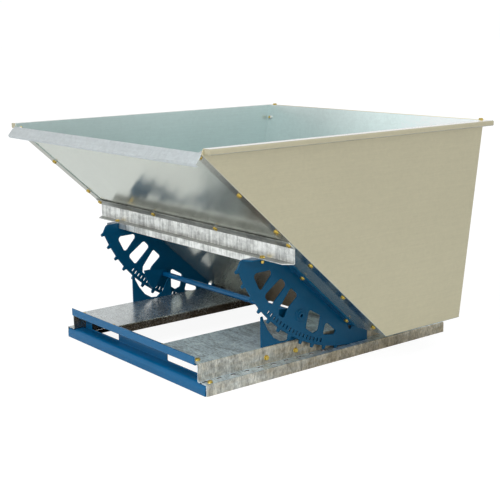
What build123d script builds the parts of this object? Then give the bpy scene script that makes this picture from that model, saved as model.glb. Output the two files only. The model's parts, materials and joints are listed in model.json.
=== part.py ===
from build123d import *
import os
from math import cos, hypot, radians, sin

# Self-dumping hopper: a folded-sheet bin on two toothed rockers that roll along a forklift base.
# Millimetres. X is the width, -Y the dump lip, +Z up; the base stands on Z = 0, front ends at Y = 0.

MIDDLE_Y = 523.8            # middle of the overall length, where the origin of the files lies

# --- base ---
BASE_LENGTH = 1132.0
SHEET_BASE = 3.0            # folded base members
TRACK_Z = 40.0              # top of the track flange the rockers roll on
POCKET_TOP_Z = 100.0        # top of the fork pocket plate
SKID_LIP_X = 459.0          # outer face of the floor lip
SKID_WEB_X = 412.0          # outer face of the pocket's outer web
SKID_INNER_X = 143.0        # inner face edge of the pocket plate
INNER_LIP_Z = 70.0
MEMBER_WEB_Y = 48.0         # set-back of the cross-members' webs
WINDOW_X = (160.0, 358.0)   # fork window in the members' webs
WINDOW_Z = (40.0, 92.0)
STOP_BAR_TOP_Z = 124.0      # upturned edge of the front member
STOP_BAR_Y = -8.5
STOP_BAR_HALF = 404.0
BASE_LIP_HALF = 454.0

# --- rolling geometry ---
ROLL_RADIUS = 558.0
ROLL_Y = 676.0
ROLL_GAP = 0.3              # rocker to track
TOOTH_PITCH = 57.6
TOOTH_COUNT = 12
FIRST_SLOT_Y = 16.0
TOOTH_HEIGHT = 13.0
TOOTH_BASE = 15.0
TOOTH_TIP = 8.0
SLOT_LENGTH = 20.0
SLOT_WIDTH = 9.0
ROCKER_X = 424.8            # inner face of each rocker plate
ROCKER_THICK = 6.0
ROCKER_FLANGE_X = 472.0
ROCKER_REAR_Y = 747.0

# --- hopper ---
HALF_WIDTH = 610.0          # outer face of the side plates
SHEET = 2.5
BEND_OUTER = 2.3            # outer radius where a side plate turns into its flanges
TOP_Z = 824.0
RIM_OUT = 32.0              # rim flange beyond the side plates
RIM_DROP = 19.0
FRONT_TOP = (-104.3, 805.3)  # Y, Z of the outline corners of a side plate
FRONT_LOW = (662.8, 106.1)
REAR_LOW = (1044.0, 106.1)
REAR_TOP_Y = 1151.0
RIM_REAR_Y = 1176.0
SIDE_FLANGE = 45.0
LIP_EDGE = (-129.4, 779.8)
LIP_HEM = (-122.4, 771.2)

# --- cross beam under the bin's slope ---
BEAM_FRONT_Y = 255.0
BEAM_LEDGE_Y = 225.0
BEAM_LEDGE_Z = 426.0
BEAM_LIP_Z = 402.5
BEAM_HALF = 600.0
BEAM_SHEET = 3.0
HUB = (424.0, 190.0)        # Y, Z of the cross tube
TUBE_RADIUS = 11.0

# --- fasteners ---
BOLT_R = 5.0
HOLE_R = 5.4
FLANGE_R = 9.5
HEX_FLATS = 14.0

SIDE_BOLT_X = 588.0
SIDE_BOLT_START = 12.0      # down the slope from its top corner
SIDE_BOLT_PITCH = 194.0
SIDE_BOLT_COUNT = 6
BEAM_BOLT_X = (196.0, 588.0)
BEAM_BOLT_S = 471.0
BEAM_TOP_S = 456.0
BEAM_LIP_HALF = 421.0
ROCKER_BOLT_S = (706.0, 985.0)
ROCKER_BOLT_X = 454.0
TAB_BOLT = (455.0, 240.0)
BOTTOM_BOLT_Y = (735.0, 860.0, 985.0)
LAP_BOLT_X = (-500.0, -120.0, 120.0, 500.0)
REAR_BOLT_S = (60.0, 260.0, 460.0, 670.0)
CORNER_BOLT = (588.0, 1162.0)
LIP_BOLT_X = (130.0, 390.0)
TOP_PLATE_BOLT_X = (160.0, 376.0)
MEMBER_BOLT_Y = 26.0
TRACK_BOLT_X = 443.0
BRACKET_BOLTS = ((287.0, 61.5), (418.0, 61.5))

# --- guide brackets ---
GUIDE_THICK = 5.0
GUIDE_FRONT_Y = 268.0
GUIDE_REAR_Y = 450.0

# --- rocker details ---
CHORD_FLANGE_S = (592.0, 1022.0)
PIERCE_COUNT = 17
PIERCE_START = 16.8         # degrees ahead of straight down
PIERCE_STEP = 1.85
PIERCE_INSET = 18.0
PIERCE_LENGTH = 15.0
PIERCE_WIDTH = 6.5
TUBE_PROUD = 2.0

# --- latch behind the bin ---
LATCH_PIVOT = (1094.0, 132.0)  # Y, Z
KEEPER = (1080.0, 168.0)
KEEPER_RADIUS = 7.0
KEEPER_PLATE = 4.0
LATCH_PLATE = 5.0
LATCH_HALF = 4.0            # half thickness of the lever
LATCH_GAP = 14.0            # inner face of each bracket ear
HANDLE_REACH = 205.0
HANDLE_ANGLE = 72.5         # degrees up from +Y
PLUG_RADIUS = 3.0

ROLL_Z = TRACK_Z + ROLL_GAP + ROLL_RADIUS
SLOPE_RUN = FRONT_LOW[0] - FRONT_TOP[0]
SLOPE_DROP = FRONT_TOP[1] - FRONT_LOW[1]
SLOPE_LENGTH = hypot(SLOPE_RUN, SLOPE_DROP)
SLOPE_OUT = Vector(0, -SLOPE_DROP / SLOPE_LENGTH, -SLOPE_RUN / SLOPE_LENGTH)
SLOPE_PLANE = Plane(origin=(0, *FRONT_TOP), x_dir=(1, 0, 0), z_dir=SLOPE_OUT)
REAR_LEAN = (REAR_TOP_Y - REAR_LOW[0]) / (TOP_Z - REAR_LOW[1])
REAR_OUT = Vector(0, 1, -REAR_LEAN).normalized()
REAR_PLANE = Plane(origin=(0, *REAR_LOW), x_dir=(1, 0, 0), z_dir=REAR_OUT)

os.makedirs("parts", exist_ok=True)


# ---------- sections and solids ----------

def along_x(face, x0, x1):
    """Solid from a (Y, Z) section, between two X positions."""
    return extrude(Plane.YZ.offset(x0) * face, x1 - x0)


def along_y(face, y0, y1):
    """Solid from an (X, Z) section, between two Y positions."""
    return extrude(Plane.XZ.offset(-y1) * face, y1 - y0)


def along_z(face, z0, z1):
    """Solid from an (X, Y) section, between two Z positions."""
    return extrude(Plane.XY.offset(z0) * face, z1 - z0)


def block(x, y, z):
    """Box given by its X, Y and Z ranges."""
    centre = [(low + high) / 2 for low, high in (x, y, z)]
    return Pos(*centre) * Box(x[1] - x[0], y[1] - y[0], z[1] - z[0])


def polygon(points, radius=0.0):
    """Closed flat outline, with all its corners rounded when a radius is given."""
    face = make_face(Polyline(*points, close=True))
    return fillet(face.vertices(), radius) if radius else face


def mitred(points, distance):
    """The open path moved sideways by distance, to the left of travel when positive."""
    moved = []
    for index, (x, y) in enumerate(points):
        normals = []
        for a, b in ((index - 1, index), (index, index + 1)):
            if a < 0 or b >= len(points):
                continue
            run, rise = points[b][0] - points[a][0], points[b][1] - points[a][1]
            length = hypot(run, rise)
            normals.append((-rise / length, run / length))
        nx = sum(n[0] for n in normals) / len(normals)
        ny = sum(n[1] for n in normals) / len(normals)
        scale = distance / (nx * nx + ny * ny)
        moved.append((x + nx * scale, y + ny * scale))
    return moved


def left_turn(points, index):
    (ax, ay), (bx, by), (cx, cy) = points[index - 1:index + 2]
    return (bx - ax) * (cy - by) - (by - ay) * (cx - bx) > 0


def folded(points, thickness, radius=3.0):
    """Section of a folded sheet whose path is one face; the metal is on the left if thickness > 0.

    radius is the inner radius of every bend, or one value for each bend."""
    other = mitred(points, thickness)
    bends = range(1, len(points) - 1)
    inner = list(radius) if isinstance(radius, (list, tuple)) else [radius] * len(bends)
    metal = abs(thickness)
    path_radii, other_radii = [], []
    for index, small in zip(bends, inner):
        other_is_inside = left_turn(points, index) == (thickness > 0)
        path_radii.append(small + metal if other_is_inside else small)
        other_radii.append(small if other_is_inside else small + metal)
    if inner:
        face_a = FilletPolyline(*points, radius=path_radii)
        face_b = FilletPolyline(*other, radius=other_radii)
    else:
        face_a = Polyline(*points)
        face_b = Polyline(*other)
    ends = [Line(points[0], other[0]), Line(points[-1], other[-1])]
    return make_face([face_a, face_b, *ends])


def mirrored(shape):
    """The same shape on the other side of the centre plane."""
    return mirror(shape, about=Plane.YZ)


def save(name, *shapes):
    """Writes one node; separate pieces in it stay separate solids."""
    solids = []
    for shape in shapes:
        solids.extend(shape.solids())
    solids = [Pos(0, -MIDDLE_Y, 0) * solid for solid in solids]
    result = solids[0] if len(solids) == 1 else Compound(children=solids)
    result.label = name
    export_step(result, f"parts/{name}.step")


# ---------- fasteners ----------

def flipped_x(place):
    """The mirror image of a place on the other side of the centre plane."""
    position, angles = place.position, place.orientation
    return Location((-position.X, position.Y, position.Z), (angles.X, -angles.Y, -angles.Z))


def pair(x, *rest, at):
    """A place at +X and its mirror image."""
    place = at(x, *rest)
    return [place, flipped_x(place)]


def on_slope(x, s, out=0.0):
    """On the bin's sloping face, s down from its top corner; local Z points out of the bin."""
    return SLOPE_PLANE * Pos(x, -s, out)


def on_rear(x, s, out=0.0):
    """On the bin's rear face, s up from its lower corner; local Z points out of the bin."""
    return REAR_PLANE * Pos(x, -s, out)


def facing_up(x, y, z):
    return Location((x, y, z))


def facing_down(x, y, z):
    return Location((x, y, z), (180, 0, 0))


def facing_side(x, y, z):
    """Local Z points along +X."""
    return Location((x, y, z), (0, 90, 0))


def upward_cylinder(radius, height, z=0.0):
    return Pos(0, 0, z) * Cylinder(radius, height, align=(Align.CENTER, Align.CENTER, Align.MIN))


def hexagon(height, z=0.0):
    """Hexagonal prism with its top corners turned off."""
    prism = extrude(RegularPolygon(HEX_FLATS / 2, 6, major_radius=False), height)
    cone = Cone(HEX_FLATS / 2 + 1.7 * height, HEX_FLATS / 2, height,
                align=(Align.CENTER, Align.CENTER, Align.MIN))
    return Pos(0, 0, z) * (prism & cone)


def bolt(place, grip):
    """Flanged hex bolt: the head seats on the place's origin, the shank runs along local -Z."""
    flange = Cone(FLANGE_R, FLANGE_R - 1.6, 1.8, align=(Align.CENTER, Align.CENTER, Align.MIN))
    shank = upward_cylinder(BOLT_R, grip + 11.0, -(grip + 11.0))
    return place * (flange + hexagon(4.0, 1.8) + shank)


def nut(place, grip):
    """Flanged hex nut seated on the far side of the clamped sheets."""
    flange = Cone(FLANGE_R - 1.6, FLANGE_R, 2.0, align=(Align.CENTER, Align.CENTER, Align.MIN))
    body = Pos(0, 0, -2.0) * flange + Rot(180, 0, 0) * hexagon(6.0, 2.0)
    body -= upward_cylinder(BOLT_R + 0.02, 10.0, -9.0)
    return place * Pos(0, 0, -grip) * body


def drill(part, places, radius=HOLE_R, reach=12.0):
    """Clearance holes through a sheet at each place."""
    for place in places:
        part -= place * Cylinder(radius, 2 * reach)
    return part


def right_only(places):
    return [place for place in places if place.position.X > 0]


def save_bolts(name, groups):
    """Bolts in one node and nuts in another; groups are (places, grip) pairs."""
    save(f"{name}_bolts", *[bolt(place, grip) for places, grip in groups for place in places])
    save(f"{name}_nuts", *[nut(place, grip) for places, grip in groups for place in places])


# ---------- fastener places ----------

def side_floor_places():
    return [p for i in range(SIDE_BOLT_COUNT)
            for p in pair(SIDE_BOLT_X, SIDE_BOLT_START + SIDE_BOLT_PITCH * i, at=on_slope)]


def beam_places(x):
    return pair(x, BEAM_BOLT_S, BEAM_SHEET, at=on_slope)


def rocker_floor_places():
    return [p for s in ROCKER_BOLT_S for p in pair(ROCKER_BOLT_X, s, ROCKER_THICK - SHEET, at=on_slope)]


def rocker_tab_places():
    return pair(TAB_BOLT[0], TAB_BOLT[1], BEAM_LEDGE_Z, at=facing_up)


def rocker_bottom_places():
    return pair(ROCKER_BOLT_X, 716.0, REAR_LOW[1] + SHEET - ROCKER_THICK, at=facing_down)


def bottom_places(y):
    return pair(SIDE_BOLT_X, y, REAR_LOW[1], at=facing_down)


def lap_places():
    """Through the floor sheet and the rear sheet's bottom flange, between the sides."""
    return [facing_down(x, BOTTOM_BOLT_Y[-1], REAR_LOW[1] + SHEET) for x in LAP_BOLT_X]


def rear_places():
    return [p for s in REAR_BOLT_S for p in pair(SIDE_BOLT_X, s, at=on_rear)]


def corner_places():
    return pair(CORNER_BOLT[0], CORNER_BOLT[1], TOP_Z, at=facing_up)


def lip_places():
    return [p for x in LIP_BOLT_X for p in pair(x, 26.0, -SHEET, at=on_slope)]


def keeper_places():
    return pair(58.0, 62.0, KEEPER_PLATE - SHEET, at=on_rear)


def member_top_places(y):
    return [p for x in TOP_PLATE_BOLT_X for p in pair(x, y, POCKET_TOP_Z, at=facing_up)]


def member_track_places(y):
    return pair(TRACK_BOLT_X, y, TRACK_Z, at=facing_up)


def bracket_places():
    return [p for y, z in BRACKET_BOLTS for p in pair(SKID_WEB_X, y, z, at=facing_side)]


def latch_bracket_places():
    z = POCKET_TOP_Z - SHEET_BASE + LATCH_PLATE
    return pair(42.0, LATCH_PIVOT[0] + 14.0, z, at=facing_up)


# ---------- base ----------

def slot_positions():
    return [FIRST_SLOT_Y + TOOTH_PITCH * index for index in range(TOOTH_COUNT)]


def track_slots(y_values, z_low, z_high):
    """Slots under the right rocker's plane that its teeth drop into."""
    x_mid = ROCKER_X + ROCKER_THICK / 2
    outline = SlotOverall(SLOT_LENGTH, SLOT_WIDTH, rotation=90)
    return [along_z(Pos(x_mid, y) * outline, z_low, z_high) for y in y_values]


def guide_slit():
    """Slit in the pocket plate that the guide bracket stands in."""
    x_out = SKID_WEB_X - SHEET_BASE
    return block((x_out - GUIDE_THICK - 0.5, x_out), (GUIDE_FRONT_Y - 1.0, GUIDE_REAR_Y + 1.0),
                 (POCKET_TOP_Z - 8.0, POCKET_TOP_Z + 1.0))


def skid():
    """Right skid: pocket plate with an inner lip, outer web, slotted track flange, floor lip."""
    path = [(SKID_INNER_X, INNER_LIP_Z), (SKID_INNER_X, POCKET_TOP_Z), (SKID_WEB_X, POCKET_TOP_Z),
            (SKID_WEB_X, TRACK_Z), (SKID_LIP_X, TRACK_Z), (SKID_LIP_X, 0.0)]
    body = along_y(folded(path, -SHEET_BASE, 2.0), 0.0, BASE_LENGTH)
    for cut in track_slots(slot_positions(), TRACK_Z - 8.0, TRACK_Z + 1.0):
        body -= cut
    body -= guide_slit()
    notch_depth = MEMBER_WEB_Y + SHEET_BASE + 2.0
    for y0, y1 in ((-1.0, notch_depth), (BASE_LENGTH - notch_depth, BASE_LENGTH + 1.0)):
        body -= block((SKID_INNER_X - 1.0, SKID_INNER_X + 6.0), (y0, y1),
                      (INNER_LIP_Z - 1.0, POCKET_TOP_Z - SHEET_BASE))
    for y in (MEMBER_BOLT_Y, BASE_LENGTH - MEMBER_BOLT_Y):
        body = drill(body, right_only(member_top_places(y) + member_track_places(y)))
    return drill(body, right_only(bracket_places()))


def fork_windows(y0, y1):
    """Openings in a member's web for the fork tines."""
    width, height = WINDOW_X[1] - WINDOW_X[0], WINDOW_Z[1] - WINDOW_Z[0]
    x_mid, z_mid = sum(WINDOW_X) / 2, sum(WINDOW_Z) / 2
    return [along_y(Pos(x, z_mid) * RectangleRounded(width, height, 4.0), y0, y1) for x in (x_mid, -x_mid)]


def front_member():
    """One folded sheet: stop bar, flange under the pocket plates, web, shelf, large bend, floor lip."""
    flange_z, shelf_z = POCKET_TOP_Z - 2 * SHEET_BASE, TRACK_Z - SHEET_BASE
    lower = [(MEMBER_WEB_Y, shelf_z), (-SHEET_BASE, shelf_z), (-SHEET_BASE, 0.0)]
    upper = [(STOP_BAR_Y, STOP_BAR_TOP_Z), (STOP_BAR_Y, flange_z), (MEMBER_WEB_Y, flange_z)]
    body = along_x(folded(upper + lower, SHEET_BASE, [2.0, 2.0, 2.0, 16.0]), -STOP_BAR_HALF, STOP_BAR_HALF)
    body += along_x(folded(lower, SHEET_BASE, 16.0), -BASE_LIP_HALF, BASE_LIP_HALF)
    for cut in fork_windows(MEMBER_WEB_Y - 5.0, MEMBER_WEB_Y + SHEET_BASE + 5.0):
        body -= cut
    for cut in track_slots([FIRST_SLOT_Y], 30.0, TRACK_Z + 1.0):
        body = body - cut - mirrored(cut)
    return drill(body, member_top_places(MEMBER_BOLT_Y) + member_track_places(MEMBER_BOLT_Y))


def rear_member():
    """Rear counterpart of the front member, with a plain top flange."""
    top_z, shelf_z = POCKET_TOP_Z - SHEET_BASE, TRACK_Z - 2 * SHEET_BASE
    web_y, end_y = BASE_LENGTH - MEMBER_WEB_Y, BASE_LENGTH
    lower = [(web_y - SHEET_BASE, shelf_z), (end_y, shelf_z), (end_y, 0.0)]
    upper = [(end_y, top_z), (web_y - SHEET_BASE, top_z)]
    body = along_x(folded(upper + lower, SHEET_BASE, [2.0, 2.0, 16.0]), -STOP_BAR_HALF, STOP_BAR_HALF)
    body += along_x(folded(lower, SHEET_BASE, 16.0), -BASE_LIP_HALF, BASE_LIP_HALF)
    for cut in fork_windows(web_y - SHEET_BASE - 5.0, web_y + 5.0):
        body -= cut
    y = BASE_LENGTH - MEMBER_BOLT_Y
    return drill(body, member_top_places(y) + member_track_places(y) + latch_bracket_places())


def guide_bracket():
    """Right guide plate inside the pocket web: the cross tube swings round a tongue in its channel."""
    top = [(GUIDE_REAR_Y, 204.0), (424.0, 210.0), (395.0, 215.0), (350.0, 220.0), (324.0, 220.0)]
    tongue = [(331.0, 190.0), (346.0, 160.0), (360.0, 140.0), (369.0, 137.0), (379.0, 146.0),
              (391.0, 166.0), (407.0, 194.0), (411.0, 203.0), (424.0, 204.5), (437.0, 202.0)]
    channel = [(441.0, 190.0), (433.0, 166.0), (410.0, 124.0), (380.0, 103.0), (354.0, 105.0),
               (323.0, 124.0), (297.0, 157.0), (280.0, 190.0), (276.0, 208.0)]
    outline = [(GUIDE_FRONT_Y, 48.0), (GUIDE_REAR_Y, 48.0)] + top + tongue + channel
    outline.append((GUIDE_FRONT_Y, 206.0))
    x_out = SKID_WEB_X - SHEET_BASE
    body = along_x(polygon(outline), x_out - GUIDE_THICK, x_out)
    return drill(body, right_only(bracket_places()), reach=14.0)


# ---------- rockers ----------

def rim_point(angle, radius):
    """Point ahead of straight down by angle, about the rolling centre."""
    return (ROLL_Y - radius * sin(angle), ROLL_Z - radius * cos(angle))


def toothed_edge():
    """From the rear round to the front: straight facets between small trapezoid teeth."""
    points = []
    base, tip = TOOTH_BASE / 2 / ROLL_RADIUS, TOOTH_TIP / 2 / ROLL_RADIUS
    top = ROLL_RADIUS + TOOTH_HEIGHT
    for y in reversed(slot_positions()):
        angle = (ROLL_Y - y) / ROLL_RADIUS
        points += [rim_point(angle - base, ROLL_RADIUS), rim_point(angle - tip, top),
                   rim_point(angle + tip, top), rim_point(angle + base, ROLL_RADIUS)]
    return points


def rocker_windows():
    """Lightening windows; the one above the hub leaves a ring of plate round it."""
    ring = Pos(*HUB) * Circle(58.0)
    return [polygon([(217, 369), (316, 371), (251, 300)], 12.0),
            polygon([(340, 337), (367, 309), (297, 245), (265, 286)], 12.0),
            polygon([(383, 296), (418, 262), (374, 226), (352, 192), (328, 208), (331, 233)], 9.0) - ring,
            polygon([(466, 204), (521, 170), (509, 120), (484, 113), (449, 138)], 9.0),
            polygon([(544, 145), (612, 86), (528, 100)], 9.0)]


def pierced_row():
    """Short punched slots, long way towards the rolling centre, that follow the toothed edge."""
    outline = SlotOverall(PIERCE_LENGTH, PIERCE_WIDTH, rotation=90)
    cuts = []
    for index in range(PIERCE_COUNT):
        angle = PIERCE_START + PIERCE_STEP * index
        y, z = rim_point(radians(angle), ROLL_RADIUS - PIERCE_INSET)
        cuts.append(Pos(y, z) * Rot(0, 0, -angle) * outline)
    return cuts


def rocker():
    """Right rocker: toothed plate with windows, a tab under the beam, flanges under the bin."""
    y_low, z_low = FRONT_LOW
    top_z = BEAM_LEDGE_Z - BEAM_SHEET
    flat_z = ROLL_Z - ROLL_RADIUS
    seat_z = z_low + SHEET
    corner = bin_outline(SHEET)[1]
    chord_s = (FRONT_TOP[1] - SHEET * SLOPE_OUT.Z - top_z) * SLOPE_LENGTH / SLOPE_DROP
    chord_top = SLOPE_PLANE.from_local_coords(Vector(0, -chord_s, -SHEET))
    outline = [(ROLL_Y, flat_z)] + toothed_edge()
    outline += [(162.0, 405.0), (169.0, 417.0), (178.0, top_z), (chord_top.Y, top_z), corner,
                (ROCKER_REAR_Y, seat_z), (ROCKER_REAR_Y, flat_z)]
    face = polygon(outline)
    face -= Pos(y_low, z_low) * Circle(10.0)
    for window in rocker_windows() + pierced_row():
        face -= window
    face -= Pos(*HUB) * Circle(TUBE_RADIUS + 0.2)
    x_out = ROCKER_X + ROCKER_THICK
    plate = along_x(face, ROCKER_X, x_out)
    plate += along_z(polygon([(ROCKER_X, 178.0), (x_out + 31.0, 196.0), (x_out + 31.0, 253.0),
                              (ROCKER_X, 253.0)]), top_z - ROCKER_THICK, top_z)
    flange_x = (ROCKER_X + ROCKER_FLANGE_X) / 2
    flange_length = CHORD_FLANGE_S[1] - CHORD_FLANGE_S[0]
    flange = Box(ROCKER_FLANGE_X - ROCKER_X, flange_length, ROCKER_THICK)
    plate += on_slope(flange_x, sum(CHORD_FLANGE_S) / 2, ROCKER_THICK / 2 - SHEET) * flange
    plate += block((ROCKER_X, ROCKER_FLANGE_X), (684.0, ROCKER_REAR_Y), (seat_z - ROCKER_THICK, seat_z))
    return drill(plate, right_only(rocker_floor_places() + rocker_tab_places() + rocker_bottom_places()))


def hub_collar():
    """Right collar welded over the tube's end: two steps and a centre hole."""
    x_face = ROCKER_X + ROCKER_THICK
    collar = upward_cylinder(21.0, 5.0) + upward_cylinder(13.0, 9.0)
    collar -= upward_cylinder(TUBE_RADIUS + 0.05, TUBE_PROUD + 0.2)
    collar -= upward_cylinder(6.0, 12.0)
    return facing_side(x_face, *HUB) * collar


def cross_tube():
    x_end = ROCKER_X + ROCKER_THICK + TUBE_PROUD
    ring = Pos(*HUB) * (Circle(TUBE_RADIUS) - Circle(TUBE_RADIUS - 3.0))
    return along_x(ring, -x_end, x_end)


# ---------- bin ----------

def bin_outline(inset):
    """Front-top, front-low, rear-low and rear-top corners, moved inwards."""
    return mitred([FRONT_TOP, FRONT_LOW, REAR_LOW, (REAR_TOP_Y, TOP_Z)], inset)


def is_bend(edge):
    """True for the outer edges where a side plate turns into its flanges."""
    centre = edge.center()
    outside = centre.X > HALF_WIDTH - 0.1
    straight_across = abs((edge @ 0).X - (edge @ 1).X) < 0.1
    below_rim = centre.Z < TOP_Z - 1.0
    return outside and straight_across and below_rim and edge.length > SIDE_FLANGE


def side_plate():
    """Right side: plate, inward flanges outside the sheets, outward rim with a closed front end,
    tab under the rear rim."""
    rim_front_y = FRONT_TOP[0] + 7.0
    outline = [(rim_front_y, TOP_Z), FRONT_TOP, FRONT_LOW, REAR_LOW, (REAR_TOP_Y, TOP_Z)]
    body = along_x(polygon(outline), HALF_WIDTH - SHEET, HALF_WIDTH)
    bends = [edge for edge in body.edges() if is_bend(edge)]
    body = fillet(bends, BEND_OUTER)
    flange_path = bin_outline(0.0)
    flange_path[-1] = (REAR_TOP_Y - 8.0 * REAR_LEAN, TOP_Z - 8.0)
    flanges = along_x(folded(flange_path, SHEET, 2.0), HALF_WIDTH - SIDE_FLANGE, HALF_WIDTH - SHEET)
    for y, z in (FRONT_LOW, REAR_LOW):
        flanges -= block((HALF_WIDTH - SIDE_FLANGE - 1.0, HALF_WIDTH - SHEET - 2.0),
                         (y - 9.0, y + 9.0), (z - 9.0, z + 9.0))
    body += flanges
    rim_path = [(HALF_WIDTH - SHEET, TOP_Z), (HALF_WIDTH + RIM_OUT, TOP_Z),
                (HALF_WIDTH + RIM_OUT, TOP_Z - RIM_DROP), (HALF_WIDTH + RIM_OUT - 10.0, TOP_Z - RIM_DROP)]
    rim = along_y(folded(rim_path, -SHEET, 2.0), rim_front_y, RIM_REAR_Y - 8.0)
    body += rim
    body += block((HALF_WIDTH - SHEET / 2, HALF_WIDTH + RIM_OUT - 1.0),
                  (rim_front_y, rim_front_y + SHEET), (TOP_Z - RIM_DROP + 1.0, TOP_Z - 1.0))
    body += block((HALF_WIDTH - SIDE_FLANGE, HALF_WIDTH + 8.0), (REAR_TOP_Y + 1.0, RIM_REAR_Y - 8.0),
                  (TOP_Z - 2 * SHEET, TOP_Z - SHEET))
    places = side_floor_places() + rear_places() + corner_places() + beam_places(BEAM_BOLT_X[1])
    for y in BOTTOM_BOLT_Y:
        places += bottom_places(y)
    body = drill(body, right_only(places))
    return body - facing_side(HALF_WIDTH, ROLL_Y, ROLL_Z) * Cylinder(PLUG_RADIUS + 0.05, 20.0)


def floor_sheet():
    """Sloping floor and flat bottom folded from one sheet."""
    points = bin_outline(SHEET)
    start = SLOPE_PLANE.from_local_coords(Vector(0, -3.0, -SHEET))
    half = HALF_WIDTH - SHEET
    path = [(start.Y, start.Z), points[1], (REAR_LOW[0] - 22.0, points[2][1])]
    body = along_x(folded(path, SHEET, 4.0), -half, half)
    places = side_floor_places() + rocker_floor_places() + lip_places() + lap_places()
    places += beam_places(BEAM_BOLT_X[0]) + beam_places(BEAM_BOLT_X[1]) + rocker_bottom_places()
    for y in BOTTOM_BOLT_Y:
        places += bottom_places(y)
    return drill(body, places)


def rear_sheet():
    """Bottom flange over the floor sheet, leaning rear wall and rear rim from one sheet."""
    inner = bin_outline(2 * SHEET)
    flange_z = REAR_LOW[1] + 3 * SHEET
    corner_y = inner[2][0] + REAR_LEAN * (flange_z - inner[2][1])
    top_y = inner[3][0] + REAR_LEAN * (TOP_Z - inner[3][1])
    path = [(930.0, flange_z), (corner_y, flange_z), (top_y, TOP_Z), (RIM_REAR_Y, TOP_Z),
            (RIM_REAR_Y, TOP_Z - RIM_DROP), (RIM_REAR_Y - 10.0, TOP_Z - RIM_DROP)]
    half = HALF_WIDTH - SHEET
    body = along_x(folded(path, -SHEET, [4.0, 2.0, 2.0, 2.0]), -half, half)
    places = rear_places() + corner_places() + keeper_places() + lap_places()
    return drill(body, places + bottom_places(BOTTOM_BOLT_Y[-1]))


def front_lip():
    """Pouring lip: leg on the floor sheet, ridge, forward band wrapping the side plates, hem."""
    leg = SLOPE_PLANE.from_local_coords(Vector(0, -46.0, -3 * SHEET))
    ridge = SLOPE_PLANE.from_local_coords(Vector(0, 3.0, -3 * SHEET))
    band_top = ((ridge.Y * 3 + LIP_EDGE[0]) / 4, (ridge.Z * 3 + LIP_EDGE[1]) / 4)
    half = HALF_WIDTH - SHEET
    path = [(leg.Y, leg.Z), (ridge.Y, ridge.Z), LIP_EDGE, LIP_HEM]
    body = along_x(folded(path, SHEET, [1.5, 1.0]), -half, half)
    body += along_x(folded([band_top, LIP_EDGE, LIP_HEM], SHEET, [1.0]), -HALF_WIDTH - 2.0, HALF_WIDTH + 2.0)
    first_row = pair(SIDE_BOLT_X, SIDE_BOLT_START, at=on_slope)
    return drill(body, lip_places() + first_row)


def cross_beam():
    """Beam under the slope: flange over the side flanges, web, ledge, lip between the rockers."""
    top = SLOPE_PLANE.from_local_coords(Vector(0, -BEAM_TOP_S, BEAM_SHEET))
    fold_s = (BEAM_FRONT_Y - top.Y) * SLOPE_LENGTH / SLOPE_RUN
    fold = (BEAM_FRONT_Y, top.Z - fold_s * SLOPE_DROP / SLOPE_LENGTH)
    path = [(top.Y, top.Z), fold, (BEAM_FRONT_Y, BEAM_LEDGE_Z), (BEAM_LEDGE_Y, BEAM_LEDGE_Z)]
    body = along_x(folded(path, BEAM_SHEET, 2.0), -BEAM_HALF, BEAM_HALF)
    corner = polygon([(BEAM_HALF + 1.0, BEAM_LEDGE_Y - 1.0), (BEAM_HALF - 27.0, BEAM_LEDGE_Y - 1.0),
                      (BEAM_HALF + 1.0, BEAM_FRONT_Y - 2.0)])
    corner = along_z(corner, BEAM_LEDGE_Z - 10.0, BEAM_LEDGE_Z + 2.0)
    body = body - corner - mirrored(corner)
    lip_path = path + [(BEAM_LEDGE_Y, BEAM_LIP_Z)]
    body += along_x(folded(lip_path, BEAM_SHEET, 2.0), -BEAM_LIP_HALF, BEAM_LIP_HALF)
    body -= along_y(Pos(BEAM_LIP_HALF - 16.0, BEAM_LIP_Z + 11.0) * Circle(4.0),
                    BEAM_LEDGE_Y - 2.0, BEAM_LEDGE_Y + 6.0)
    return drill(body, beam_places(BEAM_BOLT_X[0]) + beam_places(BEAM_BOLT_X[1]) + rocker_tab_places())


def beam_spacers():
    """Washers that fill the gap between the beam's flange and the floor sheet."""
    ring = upward_cylinder(FLANGE_R, SHEET) - upward_cylinder(HOLE_R, SHEET)
    return [place * ring for place in pair(BEAM_BOLT_X[0], BEAM_BOLT_S, -SHEET, at=on_slope)]


# ---------- latch ----------

def polar(angle, radius):
    """Point about the latch pivot, angle anticlockwise from +Y."""
    return (LATCH_PIVOT[0] + radius * cos(radians(angle)), LATCH_PIVOT[1] + radius * sin(radians(angle)))


def latch_bracket():
    """Foot plate on the rear member with two ears that carry the latch pivot."""
    y, z = LATCH_PIVOT
    seat = POCKET_TOP_Z - SHEET_BASE
    body = block((-60.0, 60.0), (BASE_LENGTH - MEMBER_WEB_Y + 1.0, BASE_LENGTH), (seat, seat + LATCH_PLATE))
    ear = polygon([(y - 10.0, seat + 1.0), (y + 28.0, seat + 1.0), (y + 12.0, z + 4.0), (y + 6.0, z + 12.0),
                   (y - 6.0, z + 12.0), (y - 10.0, z + 4.0)])
    ear -= Pos(y, z) * Circle(BOLT_R + 0.2)
    for x0 in (LATCH_GAP, -LATCH_GAP - 5.0):
        body += along_x(ear, x0, x0 + 5.0)
    return drill(body, latch_bracket_places())


def latch_pivot_pin():
    head = upward_cylinder(8.0, 4.0, LATCH_GAP + 5.2)
    tail = upward_cylinder(7.0, 2.5, -LATCH_GAP - 7.7)
    shaft = upward_cylinder(BOLT_R, 2 * LATCH_GAP + 18.0, -LATCH_GAP - 10.0)
    return facing_side(0.0, *LATCH_PIVOT) * (head + tail + shaft)


def latch_spring():
    """Torsion spring coiled round the lever's hub."""
    coil = Helix(2.7, 2.7 * 2.6, 12.2)
    wire = sweep(Plane(origin=coil @ 0, z_dir=coil % 0) * Circle(1.1), path=coil)
    return facing_side(LATCH_HALF + 1.4, *LATCH_PIVOT) * wire


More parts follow.
